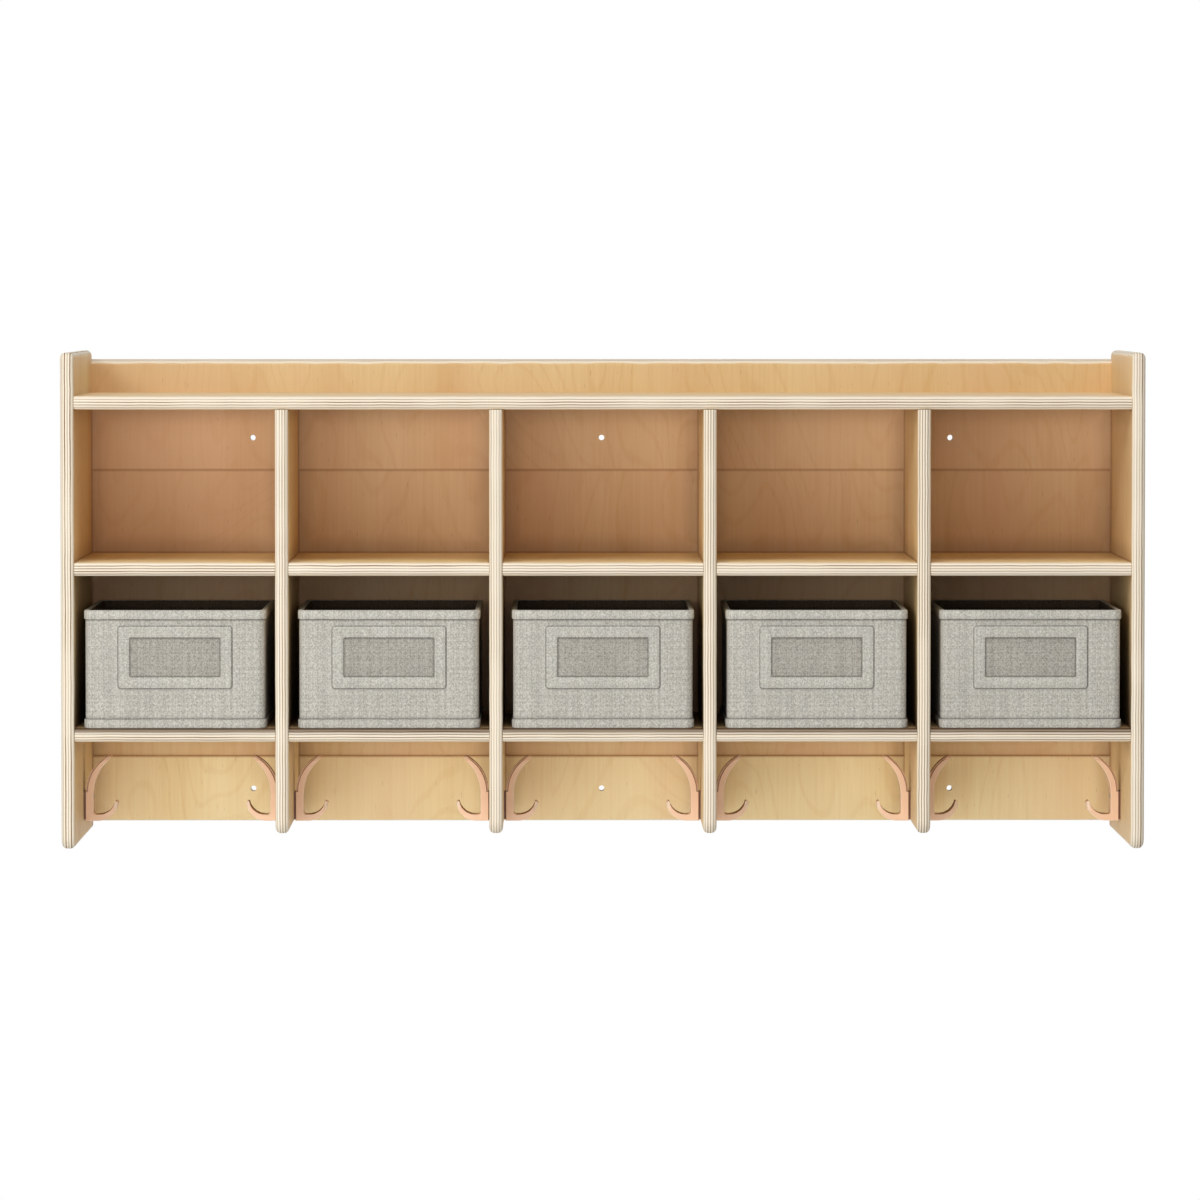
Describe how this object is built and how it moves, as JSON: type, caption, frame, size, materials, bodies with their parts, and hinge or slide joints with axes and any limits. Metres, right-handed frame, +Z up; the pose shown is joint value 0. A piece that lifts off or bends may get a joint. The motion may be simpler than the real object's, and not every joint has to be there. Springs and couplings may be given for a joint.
{
  "type": "wall-mounted coat locker",
  "caption": "Wall-mounted plywood coat locker in sections, with a top shelf, open cubbies, pull-out fabric bins and a double-pronged coat hook on each upright face.",
  "frame": {"origin": "centre of the wall-screw pattern on the back plane", "axes": "+X to the right along the locker seen from the front, +Y into the wall, +Z up"},
  "size_m": [1.2, 0.3, 0.55],
  "materials": {
    "plywood": "clear satin lacquer, bare ply edges",
    "hook_plastic": "satin moulded",
    "dowel_wood": "bare beech",
    "screw_steel": "zinc plated",
    "bin_fabric": "woven linen tweed over stiff board",
    "bin_band": "woven linen tweed binding",
    "bin_board": "board covered in cloth",
    "label_fabric": "woven linen tweed",
    "label_card": "matt plain card"
  },
  "bodies": {
    "case": {"side_panel_left": "plywood", "side_panel_right": "plywood", "divider_1": "plywood", "divider_2": "plywood", "divider_3": "plywood", "divider_4": "plywood", "top_shelf": "plywood", "middle_shelf_1": "plywood", "middle_shelf_2": "plywood", "middle_shelf_3": "plywood", "middle_shelf_4": "plywood", "middle_shelf_5": "plywood", "lower_shelf_1": "plywood", "lower_shelf_2": "plywood", "lower_shelf_3": "plywood", "lower_shelf_4": "plywood", "lower_shelf_5": "plywood", "upper_back_rail": "plywood", "back_panel": "plywood", "lower_back_rail": "plywood", "coat_hook_1_left": "hook_plastic", "coat_hook_1_right": "hook_plastic", "coat_hook_2_left": "hook_plastic", "coat_hook_2_right": "hook_plastic", "coat_hook_3_left": "hook_plastic", "coat_hook_3_right": "hook_plastic", "coat_hook_4_left": "hook_plastic", "coat_hook_4_right": "hook_plastic", "coat_hook_5_left": "hook_plastic", "coat_hook_5_right": "hook_plastic", "shelf_dowels": "dowel_wood", "top_dowels": "dowel_wood", "side_screws": "screw_steel", "back_screws": "screw_steel", "hook_screws": "screw_steel"},
    "bin_1": {"bin_1_shell": "bin_fabric", "bin_1_rim_band": "bin_band", "bin_1_base_board": "bin_board", "bin_1_label_frame": "label_fabric", "bin_1_label_card": "label_card"},
    "bin_2": {"bin_2_shell": "bin_fabric", "bin_2_rim_band": "bin_band", "bin_2_base_board": "bin_board", "bin_2_label_frame": "label_fabric", "bin_2_label_card": "label_card"},
    "bin_3": {"bin_3_shell": "bin_fabric", "bin_3_rim_band": "bin_band", "bin_3_base_board": "bin_board", "bin_3_label_frame": "label_fabric", "bin_3_label_card": "label_card"},
    "bin_4": {"bin_4_shell": "bin_fabric", "bin_4_rim_band": "bin_band", "bin_4_base_board": "bin_board", "bin_4_label_frame": "label_fabric", "bin_4_label_card": "label_card"},
    "bin_5": {"bin_5_shell": "bin_fabric", "bin_5_rim_band": "bin_band", "bin_5_base_board": "bin_board", "bin_5_label_frame": "label_fabric", "bin_5_label_card": "label_card"}
  },
  "joints": [
    {"name": "bin_1_slide", "type": "slide", "parent": "case", "child": "bin_1", "axis": [0, -1, 0], "range_m": [0, 0.26]},
    {"name": "bin_2_slide", "type": "slide", "parent": "case", "child": "bin_2", "axis": [0, -1, 0], "range_m": [0, 0.26]},
    {"name": "bin_3_slide", "type": "slide", "parent": "case", "child": "bin_3", "axis": [0, -1, 0], "range_m": [0, 0.26]},
    {"name": "bin_4_slide", "type": "slide", "parent": "case", "child": "bin_4", "axis": [0, -1, 0], "range_m": [0, 0.26]},
    {"name": "bin_5_slide", "type": "slide", "parent": "case", "child": "bin_5", "axis": [0, -1, 0], "range_m": [0, 0.26]}
  ]
}
